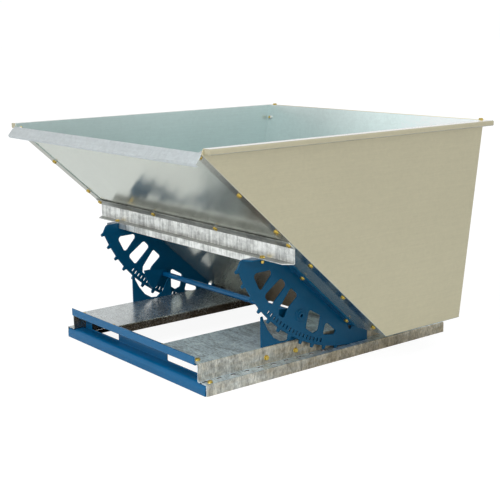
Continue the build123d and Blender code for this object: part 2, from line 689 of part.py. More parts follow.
def latch_lever():
    """Hook over the keeper bar, on a hub, with a handle bar rising behind the bin."""
    reach = hypot(KEEPER[0] - LATCH_PIVOT[0], KEEPER[1] - LATCH_PIVOT[1])
    inner = reach + KEEPER_RADIUS + 0.6
    outer = inner + 12.0
    arc = [polar(angle, inner) for angle in (124.0, 118.0, 112.0, 106.0, 100.0, 96.0)]
    back = [polar(angle, outer) for angle in (62.0, 72.0, 82.0, 92.0, 102.0, 112.0, 122.0)]
    hook = arc + [polar(90.0, 12.0), polar(60.0, 12.0)] + back
    handle = [polar(64.0, outer - 4.0), polar(HANDLE_ANGLE - 2.5, HANDLE_REACH),
              polar(HANDLE_ANGLE + 2.5, HANDLE_REACH), polar(86.0, outer - 4.0)]
    body = along_x(polygon(hook), -LATCH_HALF, LATCH_HALF) + along_x(polygon(handle), -LATCH_HALF, LATCH_HALF)
    body += facing_side(0, *LATCH_PIVOT) * Cylinder(12.0, 2 * LATCH_HALF)
    body += facing_side(0, *LATCH_PIVOT) * Cylinder(9.5, 2 * LATCH_GAP - 1.0)
    return body - facing_side(0, *LATCH_PIVOT) * Cylinder(BOLT_R + 0.05, 60.0)


def latch_grip():
    """Sleeve pushed over the end of the handle."""
    low, high = HANDLE_REACH - 70.0, HANDLE_REACH + 6.0
    middle = polar(HANDLE_ANGLE, (low + high) / 2)
    outline = RectangleRounded(high - low, 28.0, 8.0)
    face = Pos(*middle) * Rot(0, 0, HANDLE_ANGLE) * outline
    return along_x(face, -LATCH_HALF - 5.0, LATCH_HALF + 5.0) - latch_lever()


def latch_keeper():
    """Plate on the rear wall with two ears and the bar that the hook holds down."""
    y, z = KEEPER
    body = on_rear(0, 62.0, KEEPER_PLATE / 2 - SHEET) * Box(150.0, 76.0, KEEPER_PLATE)
    ear = polygon([(1050.2, 140.0), (y + 4.0, z - 11.0), (y + 11.0, z - 4.0), (y + 11.0, z + 4.0),
                   (y + 4.0, z + 11.0), (1057.0, 190.0)])
    for x0 in (30.0, -35.0):
        body += along_x(ear, x0, x0 + 5.0)
    body += facing_side(0, y, z) * Cylinder(KEEPER_RADIUS, 80.0)
    return drill(body, keeper_places())


def centre_plugs():
    """Small plugs on the rolling axis, flush in the side plates."""
    plug = facing_side(HALF_WIDTH - SHEET - 1.5, ROLL_Y, ROLL_Z) * upward_cylinder(PLUG_RADIUS, SHEET + 1.7)
    return [plug, mirrored(plug)]


# ---------- output ----------

def write_base():
    right = skid()
    save("skid_right", right)
    save("skid_left", mirrored(right))
    save("front_member", front_member())
    save("rear_member", rear_member())
    bracket = guide_bracket()
    save("guide_bracket_right", bracket)
    save("guide_bracket_left", mirrored(bracket))
    front = member_top_places(MEMBER_BOLT_Y) + member_track_places(MEMBER_BOLT_Y)
    rear_y = BASE_LENGTH - MEMBER_BOLT_Y
    rear = member_top_places(rear_y) + member_track_places(rear_y)
    save_bolts("front_member", [(front, 2 * SHEET_BASE)])
    save_bolts("rear_member", [(rear, 2 * SHEET_BASE)])
    save_bolts("guide_bracket", [(bracket_places(), SHEET_BASE + GUIDE_THICK)])


def write_latch():
    save("latch_bracket", latch_bracket())
    save_bolts("latch_bracket", [(latch_bracket_places(), LATCH_PLATE + SHEET_BASE)])
    save("latch_pivot_pin", latch_pivot_pin())
    save("latch_spring", latch_spring())
    save("latch_lever", latch_lever())
    save("latch_grip", latch_grip())
    save("latch_keeper", latch_keeper())
    save_bolts("latch_keeper", [(keeper_places(), KEEPER_PLATE + SHEET)])


def write_rockers():
    right = rocker()
    save("rocker_right", right)
    save("rocker_left", mirrored(right))
    collar = hub_collar()
    save("hub_collars", collar, mirrored(collar))
    save("cross_tube", cross_tube())
    save_bolts("rocker", [(rocker_floor_places() + rocker_bottom_places(), ROCKER_THICK + SHEET),
                          (rocker_tab_places(), BEAM_SHEET + ROCKER_THICK)])


def write_bin():
    right = side_plate()
    save("side_right", right)
    save("side_left", mirrored(right))
    save("floor_sheet", floor_sheet())
    save("rear_sheet", rear_sheet())
    save("front_lip", front_lip())
    save("cross_beam", cross_beam())
    save("beam_spacers", *beam_spacers())
    save("centre_plugs", *centre_plugs())
    side_floor = side_floor_places()
    save_bolts("side_floor", [(side_floor[:2], 3 * SHEET), (side_floor[2:], 2 * SHEET)])
    save_bolts("beam", [(beam_places(BEAM_BOLT_X[0]) + beam_places(BEAM_BOLT_X[1]), BEAM_SHEET + 2 * SHEET)])
    bottom = [(bottom_places(y), 2 * SHEET) for y in BOTTOM_BOLT_Y[:-1]]
    save_bolts("bottom", bottom + [(bottom_places(BOTTOM_BOLT_Y[-1]), 3 * SHEET), (lap_places(), 2 * SHEET)])
    save_bolts("rear_wall", [(rear_places(), 2 * SHEET)])
    save_bolts("rear_corner", [(corner_places(), 2 * SHEET)])
    save_bolts("front_lip", [(lip_places(), 2 * SHEET)])


write_base()
write_latch()
write_rockers()
write_bin()
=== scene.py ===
import json
from math import cos, pi, radians, sin
import bpy
import bmesh
from mathutils import Matrix, Vector


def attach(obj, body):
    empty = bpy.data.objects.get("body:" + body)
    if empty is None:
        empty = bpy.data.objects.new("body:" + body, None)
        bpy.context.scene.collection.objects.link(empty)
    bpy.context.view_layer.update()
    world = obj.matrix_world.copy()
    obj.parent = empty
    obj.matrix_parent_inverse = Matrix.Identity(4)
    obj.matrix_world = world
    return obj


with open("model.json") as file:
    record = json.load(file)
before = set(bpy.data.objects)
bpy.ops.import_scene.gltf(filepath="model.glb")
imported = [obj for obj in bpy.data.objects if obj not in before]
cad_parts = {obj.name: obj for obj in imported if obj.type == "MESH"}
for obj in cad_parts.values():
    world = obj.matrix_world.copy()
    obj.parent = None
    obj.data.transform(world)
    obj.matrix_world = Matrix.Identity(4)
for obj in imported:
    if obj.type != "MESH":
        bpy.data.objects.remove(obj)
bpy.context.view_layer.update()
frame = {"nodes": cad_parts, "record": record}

NODES = frame["nodes"]
SUBPARTS = frame["record"]["subparts"]
BODIES = frame["record"]["behaviour"]["bodies"]

# Metres in the row frame: X is the width, -Y the pouring lip, +Z up.
MIDDLE_Y = 0.5238             # from the front ends of the skids to the origin
BIN_FLOOR_TOP = 0.30          # faces below this that look up are inside the bin
FLANGE_SHADE = (0.36, 0.52)   # the painted reflection on the side flanges turns from blue-grey to pale between these heights
SLOT_X = (0.4224, 0.4332)     # from the centre plane to the walls of the track slots
SLOT_Z = (0.0300, 0.0398)
TRACK_X = (0.409, 0.456)      # floor strips shut in below the tracks
TRACK_Y = (-0.52, 0.60)

# Colours of the galvanised sheet
OUTER = (0.61, 0.555, 0.395)
# painted light: the faces inside the bin get this cooler, lighter colour instead of the warm outer one
INSIDE_PAINTED_LIGHT = (0.62, 0.71, 0.70)
# painted reflection on the flanges that look down: pale higher up, blue-grey lower down
PAINTED_FLANGE_PALE = (0.50, 0.485, 0.42)
PAINTED_FLANGE_BLUE_GREY = (0.30, 0.40, 0.46)
# painted highlight on the rim's top
RIM_TOP = (0.86, 0.85, 0.82)
FROST = (0.74, 0.76, 0.77)
BROWN = (0.44, 0.385, 0.285)
DARK_BROWN = (0.16, 0.13, 0.09)
LEDGE_GREY = (0.20, 0.21, 0.20)
SLOT_DARK = (0.02, 0.018, 0.015)

# Texture scales of the galvanised sheet, in cells or waves for each metre
SPANGLE = 85.0
FINE_SPANGLE = 240.0
CLOUDS = 3.2
GRAIN = 26.0
HAIRLINE = 40.0

SHEET_METAL = 0.85
FLANGE_METAL = 0.97
RIM_TOP_ROUGH = 0.16


# ---------- node helpers ----------

class Mat:
    """A material under construction: short calls for the nodes the surfaces need."""

    def __init__(self, name, seed=0.0):
        self.mat = bpy.data.materials.new(name)
        self.mat.use_nodes = True
        self.tree = self.mat.node_tree
        self.tree.nodes.clear()
        self.bsdf = self.new("BsdfPrincipled")
        self.link(self.bsdf.outputs[0], self.new("OutputMaterial").inputs[0])
        self.coords = self.new("TexCoord").outputs["Object"]
        self.shift = (seed, seed * 0.7, seed * 1.3)

    def new(self, kind):
        return self.tree.nodes.new("ShaderNode" + kind)

    def link(self, a, b):
        self.tree.links.new(a, b)

    def feed(self, socket, value):
        """Links a node output into a socket, or sets a plain value on it."""
        if isinstance(value, bpy.types.NodeSocket):
            self.link(value, socket)
        elif isinstance(value, (tuple, list)) and len(value) == 3 and socket.type == "RGBA":
            socket.default_value = (*value, 1.0)
        else:
            socket.default_value = value

    def set(self, **values):
        for name, value in values.items():
            self.feed(self.bsdf.inputs[name.replace("_", " ")], value)

    def mapping(self, scale=(1, 1, 1), rotation=(0, 0, 0), offset=None):
        """The object's coordinates, scaled, turned and moved, by the seed's shift if no offset is given."""
        node = self.new("Mapping")
        node.inputs["Scale"].default_value = scale
        node.inputs["Rotation"].default_value = rotation
        node.inputs["Location"].default_value = self.shift if offset is None else offset
        self.link(self.coords, node.inputs["Vector"])
        return node.outputs[0]

    def noise(self, vector=None, scale=10.0, detail=4.0, rough=0.5, distortion=0.0, color=False):
        node = self.new("TexNoise")
        self.link(vector or self.coords, node.inputs["Vector"])
        node.inputs["Scale"].default_value = scale
        node.inputs["Detail"].default_value = detail
        node.inputs["Roughness"].default_value = rough
        node.inputs["Distortion"].default_value = distortion
        return node.outputs["Color" if color else "Fac"]

    def cells(self, vector, scale):
        """Random colour of each cell."""
        node = self.new("TexVoronoi")
        self.link(vector, node.inputs["Vector"])
        node.inputs["Scale"].default_value = scale
        return node.outputs["Color"]

    def ramp(self, value, *stops):
        """Grey ramp from (position, grey) pairs."""
        node = self.new("ValToRGB")
        set_stops(node.color_ramp, [(position, (grey,) * 3) for position, grey in stops])
        self.link(value, node.inputs["Fac"])
        return node.outputs["Color"]

    def math(self, operation, a, b=0.0):
        node = self.new("Math")
        node.operation = operation
        self.feed(node.inputs[0], a)
        self.feed(node.inputs[1], b)
        return node.outputs[0]

    def times(self, a, b):
        return self.math("MULTIPLY", a, b)

    def mix(self, factor, a, b, blend="MIX"):
        """Colour between a and b."""
        node = self.new("Mix")
        node.data_type = "RGBA"
        node.blend_type = blend
        self.feed(node.inputs["Factor"], factor)
        self.feed(node.inputs[6], a)
        self.feed(node.inputs[7], b)
        return node.outputs[2]

    def blend_values(self, factor, a, b):
        """Plain number between a and b."""
        node = self.new("Mix")
        node.data_type = "FLOAT"
        self.feed(node.inputs[0], factor)
        self.feed(node.inputs[2], a)
        self.feed(node.inputs[3], b)
        return node.outputs[0]

    def spread(self, value, low, high, start=0.0, end=1.0):
        """Maps start..end to low..high."""
        node = self.new("MapRange")
        self.feed(node.inputs["Value"], value)
        node.inputs["From Min"].default_value = start
        node.inputs["From Max"].default_value = end
        node.inputs["To Min"].default_value = low
        node.inputs["To Max"].default_value = high
        return node.outputs[0]

    def vary(self, value, amount):
        """Maps 0..1 to a factor from 1 - amount to 1 + amount."""
        return self.spread(value, 1.0 - amount, 1.0 + amount)

    def between(self, value, low, high):
        """1 where low < value < high."""
        return self.times(self.math("GREATER_THAN", value, low), self.math("LESS_THAN", value, high))

    def grey_of(self, colour):
        node = self.new("RGBToBW")
        self.link(colour, node.inputs[0])
        return node.outputs[0]

    def separate(self, vector):
        node = self.new("SeparateXYZ")
        self.link(vector, node.inputs[0])
        return node.outputs

    def normals(self):
        """X, Y and Z of the surface normal in the object's own axes."""
        return self.separate(self.new("TexCoord").outputs["Normal"])

    def soft_edges(self, radius):
        """Normals rounded over sharp edges, so that they catch the light."""
        node = self.new("Bevel")
        node.samples = 4
        node.inputs["Radius"].default_value = radius
        return node.outputs[0]

    def bump(self, height, strength, distance, below=None):
        node = self.new("Bump")
        node.inputs["Strength"].default_value = strength
        node.inputs["Distance"].default_value = distance
        self.link(height, node.inputs["Height"])
        if below is not None:
            self.link(below, node.inputs["Normal"])
        return node.outputs[0]


def set_stops(color_ramp, stops):
    """Gives a colour ramp its (position, colour) stops."""
    while len(color_ramp.elements) < len(stops):
        color_ramp.elements.new(0.5)
    for element, (position, colour) in zip(color_ramp.elements, stops):
        element.position = position
        element.color = (*colour, 1.0)


# ---------- galvanised sheet ----------

# What galvanised() makes unless a call says otherwise.
# inner, inner_axis: a cooler, lighter colour, painted light, for the faces that look along (axis, sign),
# inside the bin, and for the bin's floor
# edges: roughness of the faces that look down, which also get a painted reflection, blue-grey low down and
# pale higher up; the rim's top gets a painted highlight
# tint, tint_along: (axis, colour, amount) turns the faces that look along an axis towards a colour in patches,
# more and more between two Y values
# lift: (start, end, gain) brightens the sheet towards +X, a painted reflection of the bright sky
# slotted: darkens the walls of the track slots
PLAIN_SHEET = dict(
    inner=None, inner_axis=None, grain_stretch=(1, 30, 30), grain=0.5, spangle=0.5, rough=(0.30, 0.48),
    bands=None, band_depth=0.0, band_turn=(0, 0, 0), drips=0.0, blotch=0.5, bloom=0.0, edges=None,
    swell=0.55, tint=None, tint_along=None, lift=None, mottle=0.0, slotted=False)


def sheet_textures(m, look):
    """The crystals and the rolling grain, which tone, roughness and bump share."""
    cells_at = m.mapping((1, 1, 1), (0.3, 0.2, 0.5))
    warped = m.mix(0.012, cells_at, m.noise(cells_at, 60.0, 2.0, 0.5, color=True), "ADD")
    stretch = look["grain_stretch"]
    return {
        "warped": warped,
        "cells": m.separate(m.cells(warped, SPANGLE))[0],
        "fine": m.separate(m.cells(warped, FINE_SPANGLE))[1],
        "lines": m.noise(m.mapping(stretch), GRAIN, 6.0, 0.65),
        "hair": m.noise(m.mapping(tuple(4 * v for v in stretch)), HAIRLINE, 3.0, 0.6)}


def sheet_tone(m, look, skin, axes):
    """Everything that makes the zinc lighter or darker, as one factor."""
    tone = m.times(m.vary(skin["cells"], 0.10 * look["spangle"]), m.vary(skin["fine"], 0.05 * look["spangle"]))
    tone = m.times(tone, m.vary(skin["lines"], 0.16 * look["grain"]))
    tone = m.times(tone, m.vary(m.noise(m.mapping(), CLOUDS, 5.0, 0.6), 0.16 * look["blotch"]))
    if look["bands"]:
        band = m.noise(m.mapping(look["bands"], look["band_turn"]), 5.0, 7.0, 0.72)
        tone = m.times(tone, m.vary(band, look["band_depth"]))
    if look["drips"]:
        tone = m.times(tone, drip_tone(m, look["drips"]))
    if look["mottle"]:
        tone = m.times(tone, mottle_tone(m, look["mottle"]))
    # painted reflection: the sheet grows brighter towards +X
    if look["lift"]:
        start, end, gain = look["lift"]
        tone = m.times(tone, m.spread(axes[0], 1.0, gain, start, end))
    return tone


def drip_tone(m, depth):
    """Zinc runs and pale mottling down an upright face."""
    runs = m.noise(m.mapping((26, 26, 2.2)), 3.0, 7.0, 0.75)
    patches = m.noise(m.mapping((3, 3, 6)), 5.0, 6.0, 0.65)
    pits = m.noise(m.mapping((60, 60, 18)), 3.0, 4.0, 0.7)
    both = m.math("ADD", m.times(runs, 0.55), m.times(patches, 0.45))
    tone = m.spread(m.ramp(both, (0.40, 0.0), (0.56, 1.0)), 1.0 - depth, 1.0 + 0.55 * depth)
    dark = m.ramp(pits, (0.26, 1.0 - depth), (0.40, 1.0))
    return m.times(tone, m.grey_of(dark))


def mottle_tone(m, depth):
    """Specks and long veins on a flat face."""
    speck = m.noise(m.mapping((1.0, 2.2, 1.0), (0, 0, 0.5)), 75.0, 7.0, 0.78)
    vein = m.noise(m.mapping((1.0, 2.6, 1.0), (0, 0, 0.3)), 14.0, 5.0, 0.6, 0.8)
    both = m.math("ADD", m.times(speck, 0.62), m.times(vein, 0.38))
    grey = m.grey_of(m.ramp(both, (0.41, 0.0), (0.57, 1.0)))
    return m.spread(grey, 1.0 - depth, 1.0 + 0.8 * depth)


def inside_painted_light(m, look, base, normals, axes):
    """Painted light: a cooler, lighter colour on the faces inside the bin and on its floor, in place of the
    warm outer colour.
    """
    if look["inner"] is None:
        return base
    axis, sign = look["inner_axis"]
    facing = m.math("GREATER_THAN", m.times(normals[axis], sign), 0.3)
    low = m.math("LESS_THAN", axes[2], BIN_FLOOR_TOP)
    floor = m.times(m.math("GREATER_THAN", normals[2], 0.5), low)
    return m.mix(m.math("MAXIMUM", facing, floor), base, look["inner"])


def side_patches(m, look, colour, normals, axes):
    """Patches of another colour on the faces that look along one axis."""
    if look["tint"] is None:
        return colour
    axis, dirt, amount = look["tint"]
    patches = m.ramp(m.noise(m.mapping((1, 1.5, 5)), 9.0, 6.0, 0.65), (0.25, 0.6), (0.6, 1.0))
    sides = m.math("GREATER_THAN", m.math("ABSOLUTE", normals[axis]), 0.5)
    if look["tint_along"]:
        patches = m.times(patches, m.spread(axes[1], 0.80, 1.15, *look["tint_along"]))
    return m.mix(m.times(m.times(sides, amount), patches), colour, dirt)


def frosted(m, look, colour, skin):
    """Pale patches of bloom on the colour, and how dull each place is from 0 to 1."""
    dull = m.math("ADD", m.times(skin["cells"], 0.45 * look["spangle"]), m.times(skin["lines"], 0.55))
    if not look["bloom"]:
        return colour, dull
    ragged = m.times(m.math("SUBTRACT", m.noise(skin["warped"], 130.0, 5.0, 0.7), 0.5), 0.9)
    frost = m.math("ADD", m.noise(m.mapping(), 4.0, 3.0, 0.5), ragged)
    frost = m.ramp(frost, (0.50, 0.0), (0.66, 1.0))
    dull = m.math("ADD", dull, m.times(frost, look["bloom"]))
    return m.mix(m.times(frost, 0.5 * look["bloom"]), colour, FROST), dull


def flange_painted_light(m, flange_rough, colour, roughness, normals, axes):
    """Smooth flanges on the faces that look down, with a painted reflection from blue-grey low down to pale
    higher up, and a painted highlight on the rim's top.
    """
    flange = m.math("LESS_THAN", normals[2], -0.3)
    height = m.spread(axes[2], 0.0, 1.0, *FLANGE_SHADE)
    colour = m.mix(flange, colour, m.mix(height, PAINTED_FLANGE_BLUE_GREY, PAINTED_FLANGE_PALE))
    top = m.math("GREATER_THAN", normals[2], 0.9)
    colour = m.mix(top, colour, RIM_TOP)
    roughness = m.blend_values(top, roughness, RIM_TOP_ROUGH)
    roughness = m.blend_values(flange, roughness, flange_rough)
    return colour, roughness, m.blend_values(flange, SHEET_METAL, FLANGE_METAL)


def dark_slots(m, colour, metal, axes):
    """Shaded walls of the slots in the tracks."""
    across = m.between(m.math("ABSOLUTE", axes[0]), *SLOT_X)
    in_slot = m.times(across, m.between(axes[2], *SLOT_Z))
    return m.mix(in_slot, colour, SLOT_DARK), m.blend_values(in_slot, metal, 0.0)


def sheet_bump(m, look, skin):
    """Slow waves of the sheet, the relief of the crystals, and hairlines."""
    wave = m.noise(m.mapping(), 1.8, 2.0, 0.4)
    surface = m.bump(wave, look["swell"], 0.008, m.soft_edges(0.0018))
    surface = m.bump(skin["cells"], 0.06 * look["spangle"], 0.0006, surface)
    return m.bump(skin["hair"], 0.10 * look["grain"], 0.0004, surface)


def galvanised(name, base, seed, **changes):
    """Hot-dip galvanised sheet: crystal spangle, rolling grain, cloudy oxide, faint waviness."""
    look = {**PLAIN_SHEET, **changes}
    m = Mat(name, seed)
    skin = sheet_textures(m, look)
    normals, axes = m.normals(), m.separate(m.coords)
    colour = inside_painted_light(m, look, base, normals, axes)
    colour = side_patches(m, look, colour, normals, axes)
    colour, dull = frosted(m, look, colour, skin)
    roughness, metal = m.spread(dull, *look["rough"]), SHEET_METAL
    if look["edges"] is not None:
        colour, roughness, metal = flange_painted_light(m, look["edges"], colour, roughness, normals, axes)
    if look["slotted"]:
        colour, metal = dark_slots(m, colour, metal, axes)
    tone = sheet_tone(m, look, skin, axes)
    grey = m.new("CombineColor")
    for channel in range(3):
        m.link(tone, grey.inputs[channel])
    m.set(Base_Color=m.mix(1.0, colour, grey.outputs[0], "MULTIPLY"), Roughness=roughness, Metallic=metal)
    m.set(Normal=sheet_bump(m, look, skin))
    return m.mat


# ---------- paint, zinc plating, rubber ----------

def blue_paint(name, base, rough, gloss):
    """Gloss enamel over steel: fine orange peel, dust, faint scuffs."""
    m = Mat(name)
    at = m.mapping()
    cloud = m.noise(at, 6.0, 5.0, 0.6)
    dust = m.ramp(m.noise(at, 34.0, 8.0, 0.7), (0.52, 0.0), (0.80, 1.0))
    scratches = m.noise(m.mapping((3, 30, 3), (0.2, 0.5, 0.1)), 16.0, 6.0, 0.75)
    scuff = m.ramp(scratches, (0.60, 0.0), (0.74, 1.0))
    dark, light = tuple(0.86 * c for c in base), tuple(1.16 * c for c in base)
    deep = m.mix(m.spread(cloud, 0.0, 1.0), dark, light)
    dusty = m.mix(m.times(dust, 0.04), deep, (0.16, 0.26, 0.32))
    m.set(Base_Color=m.mix(m.times(scuff, 0.04), dusty, (0.12, 0.26, 0.38)))
    m.set(Roughness=m.spread(m.math("ADD", cloud, m.times(dust, 0.4)), rough - 0.06, rough + 0.10))
    m.set(Specular_IOR_Level=gloss, Specular_Tint=(0.45, 0.80, 1.0))
    m.set(Normal=m.bump(m.noise(at, 420.0, 2.0, 0.5), 0.10, 0.0004, m.soft_edges(0.0022)))
    return m.mat


def zinc_plated(name, base, tint, rough):
    """Zinc plating with iridescent patches and machining marks."""
    m = Mat(name)
    patch = m.noise(None, 120.0, 4.0, 0.6)
    fine = m.noise(m.mapping((1, 1, 6)), 900.0, 3.0, 0.6)
    m.set(Base_Color=m.mix(patch, base, tint), Metallic=0.9)
    m.set(Roughness=m.spread(patch, rough - 0.08, rough + 0.14))
    m.set(Normal=m.bump(fine, 0.12, 0.0003))
    return m.mat


def rubber(name):
    """Dull moulded rubber with a fine grain."""
    m = Mat(name)
    cloud = m.noise(None, 30.0, 4.0, 0.6)
    m.set(Base_Color=m.mix(cloud, (0.012, 0.012, 0.013), (0.035, 0.034, 0.033)))
    m.set(Roughness=m.spread(cloud, 0.55, 0.8))
    m.set(Normal=m.bump(m.noise(None, 500.0, 4.0, 0.6), 0.35, 0.0006))
    return m.mat


# ---------- which node gets which material ----------

def sheet_materials():
    """Material of each galvanised node; the two sides differ, and the two skids are a lighter, bluer copy and
    a darker copy of one zinc, painted light and painted shade.
    """
    side = dict(inner=INSIDE_PAINTED_LIGHT, grain_stretch=(30, 1, 30), grain=0.3, spangle=0.15, blotch=0.3,
                bands=(1, 1.2, 34), band_depth=0.08, edges=0.22, swell=0.25)
    skid = dict(spangle=0.7, grain=0.4, blotch=1.0, slotted=True)
    side_right = galvanised("galv_side_right", OUTER, 1.0, inner_axis=(0, -1.0), **side)
    return {
        "side_right": side_right,
        "centre_plugs": side_right,
        "side_left": galvanised("galv_side_left", OUTER, 2.0, inner_axis=(0, 1.0), **side),
        "floor_sheet": galvanised(
            "galv_floor", (0.70, 0.715, 0.635), 3.0, inner=INSIDE_PAINTED_LIGHT, inner_axis=(2, 1.0),
            grain_stretch=(3, 30, 30), spangle=0.25, rough=(0.10, 0.24), swell=0.35, bands=(22, 2, 2),
            band_turn=(0, 0.8, 0), band_depth=0.13),
        # the rear sheet brightens towards +X: painted reflection
        "rear_sheet": galvanised(
            "galv_rear", OUTER, 4.0, inner=INSIDE_PAINTED_LIGHT, inner_axis=(1, -1.0), grain=0.4, spangle=0.25,
            bands=(2, 1, 20), band_depth=0.05, lift=(-0.25, 0.40, 1.62)),
        "front_lip": galvanised(
            "galv_lip", (0.60, 0.63, 0.64), 5.0, bands=(0.8, 22, 22), band_depth=0.16, rough=(0.34, 0.5)),
        "cross_beam": galvanised(
            "galv_beam", (0.80, 0.80, 0.77), 6.0, drips=0.44, grain=0.2, tint=(2, LEDGE_GREY, 0.9)),
        # painted light and shade: the near skid gets a lighter, bluer copy of the zinc, the far skid a darker
        # one
        "skid_right": galvanised(
            "galv_skid_right_painted_light", (0.68, 0.77, 0.83), 7.0, rough=(0.32, 0.56), bloom=0.4, drips=0.16,
            bands=(6, 1.6, 3), band_depth=0.16, mottle=0.40, tint=(0, BROWN, 1.0),
            tint_along=(-0.4, 0.1), **skid),
        "skid_left": galvanised(
            "galv_skid_left_painted_shade", (0.52, 0.55, 0.56), 8.4, rough=(0.13, 0.34), bloom=0.9, mottle=0.16,
            tint=(0, DARK_BROWN, 0.95), **skid)}


def paint_nodes():
    """Gives every node its own material, or else the one of its slot in the record."""
    own = sheet_materials()
    plain_zinc = zinc_plated("plain_zinc", (0.62, 0.64, 0.64), (0.70, 0.70, 0.68), 0.34)
    # the tube and the front member get lighter copies of the blue enamel, painted light; the tube's higher
    # gloss is its own
    own["cross_tube"] = blue_paint("blue_tube_painted_light", (0.001, 0.080, 0.21), 0.14, 0.8)
    own["front_member"] = blue_paint("blue_front_painted_light", (0.002, 0.092, 0.225), 0.20, 0.4)
    for name in ("side_floor_nuts", "rear_wall_nuts", "front_lip_nuts", "bottom_nuts"):
        own[name] = plain_zinc
    by_slot = {
        "galvanised": own["skid_right"],
        "blue_paint": blue_paint("blue_enamel", (0.001, 0.066, 0.150), 0.20, 0.32),
        "zinc_bolt": zinc_plated("yellow_zinc", (0.60, 0.43, 0.05), (0.74, 0.52, 0.15), 0.22),
        "bright_steel": plain_zinc,
        "black_rubber": rubber("grip_rubber")}
    for row in SUBPARTS:
        materials = NODES[row["node"]].data.materials
        materials.clear()
        materials.append(own.get(row["node"], by_slot[row["material_slot"]]))


# ---------- welds and a spring leg ----------

# Places in millimetres in the part's own frame; radii of beads and wire in metres.
HUB = (424.0, 190.0)                                # Y, Z of the cross tube
EAR_WELDS = (("outer", 19.4), ("inner", 13.6))      # X, from the centre plane
EAR_LINE = ((1085.5, 102.4), (1120.5, 102.4))       # Y, Z of both ends
KEEPER_WELDS = (("outer", 35.4), ("inner", 29.6))
KEEPER_LINE = ((1051.6, 143.0), (1058.2, 188.0))
SPRING_LEG = ((13.0, 1104.0, 138.0), (13.0, 1106.5, 131.0), (13.0, 1107.0, 118.0), (13.0, 1107.5, 103.6))
BEAD = 0.0020
WIRE = 0.0011
BAR_SIDES = 10
RING_STEPS = 96
LINE_STEPS = 26


def in_row_frame(x, y, z):
    """Millimetres in the part's own frame to metres in the row frame."""
    return Vector((x / 1000.0, y / 1000.0 - MIDDLE_Y, z / 1000.0))


def square_to(path, index, closed, across):
    """Two directions square to the path at one point; the first is carried on from the point before."""
    ahead = path[(index + 1) % len(path)] if closed or index + 1 < len(path) else path[index]
    behind = path[index - 1] if closed or index > 0 else path[index]
    tangent = (ahead - behind).normalized()
    if across is None:
        across = tangent.orthogonal().normalized()
    else:
        across = (across - tangent * across.dot(tangent)).normalized()
    return across, tangent.cross(across)


def round_bar(name, path, radii, closed, node):
    """Round bar of changing radius along a path, with the body and material of a CAD node."""
    mesh = bpy.data.meshes.new(name)
    bm = bmesh.new()
    angles = [2 * pi * k / BAR_SIDES for k in range(BAR_SIDES)]
    rings, across = [], None
    for index, (point, radius) in enumerate(zip(path, radii)):
        across, other = square_to(path, index, closed, across)
        rings.append([bm.verts.new(point + (across * cos(a) + other * sin(a)) * radius) for a in angles])
    following = rings[1:] + rings[:1] if closed else rings[1:]
    for low, high in zip(rings, following):
        for k in range(BAR_SIDES):
            after = (k + 1) % BAR_SIDES
            bm.faces.new((low[k], low[after], high[after], high[k]))
    if not closed:
        bm.faces.new(list(reversed(rings[0])))
        bm.faces.new(rings[-1])
    bmesh.ops.recalc_face_normals(bm, faces=bm.faces)
    bm.to_mesh(mesh)
    bm.free()
    mesh.shade_smooth()
    mesh.materials.append(NODES[node].data.materials[0])
    obj = bpy.data.objects.new(name, mesh)
    bpy.context.scene.collection.objects.link(obj)
    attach(obj, next(body for body, nodes in BODIES.items() if node in nodes))


def ripple(index, bead):
    """Radius of a hand-laid bead: even ripples with a little wander."""
    return bead * (1.0 + 0.16 * sin(index * 1.9) + 0.08 * sin(index * 0.37))


def weld_ring(name, x, radius, bead, node):
    """Fillet weld round the hub, in a plane across X."""
    centre = in_row_frame(x, *HUB)
    angles = [2 * pi * k / RING_STEPS for k in range(RING_STEPS)]
    path = [centre + Vector((0.0, radius * cos(a), radius * sin(a))) for a in angles]
    round_bar(name, path, [ripple(k, bead) for k in range(RING_STEPS)], True, node)


def weld_line(name, x, line, node):
    """Straight fillet weld, tapering at both ends."""
    start, end = (in_row_frame(x, *point) for point in line)
    last = LINE_STEPS - 1
    path = [start.lerp(end, k / last) for k in range(LINE_STEPS)]
    radii = [ripple(k, BEAD) * (0.35 if k in (0, last) else 1.0) for k in range(LINE_STEPS)]
    round_bar(name, path, radii, False, node)


def add_welds():
    """Beads round the hub's collars, and along the ears of the latch and of its keeper."""
    for side, word in ((1, "right"), (-1, "left")):
        weld_ring("hub_weld_" + word, side * 431.0, 0.0212, 0.0021, "hub_collars")
        weld_ring("hub_cap_weld_" + word, side * 435.9, 0.0131, 0.0012, "hub_collars")
        for edge, x in EAR_WELDS:
            weld_line("ear_weld_" + edge + "_" + word, side * x, EAR_LINE, "latch_bracket")
        for edge, x in KEEPER_WELDS:
            weld_line("keeper_weld_" + edge + "_" + word, side * x, KEEPER_LINE, "latch_keeper")


def add_spring_leg():
    """The spring's lower leg, down to the bracket."""
    path = [in_row_frame(*point) for point in SPRING_LEG]
    round_bar("spring_leg_foot", path, [WIRE] * len(path), False, "latch_spring")


# ---------- floor, light, camera ----------

FLOOR_HALF = 60.0
FLOOR_Z = -0.0012           # the floor that lights the object
SHEET_Z = -0.0006           # the sheet that only the camera sees
FLOOR_TONE = 0.80
SHEET_TONE = 0.10
SHEET_GLOW = 0.93
UNDER_HOPPER = (0.20, 0.13, 0.07)
TRACK_SHADOW = (0.02, 0.02, 0.02)

# From 0, straight down, to 1, straight up, and the light from there
SKY = ((0.0, (0.5, 0.5, 0.5)), (0.49, (1.2, 1.2, 1.2)), (0.52, (1.2, 1.2, 1.2)),
       (0.60, (0.9, 0.9, 0.88)), (1.0, (0.80, 0.88, 0.92)))
SKY_STRENGTH = 0.85

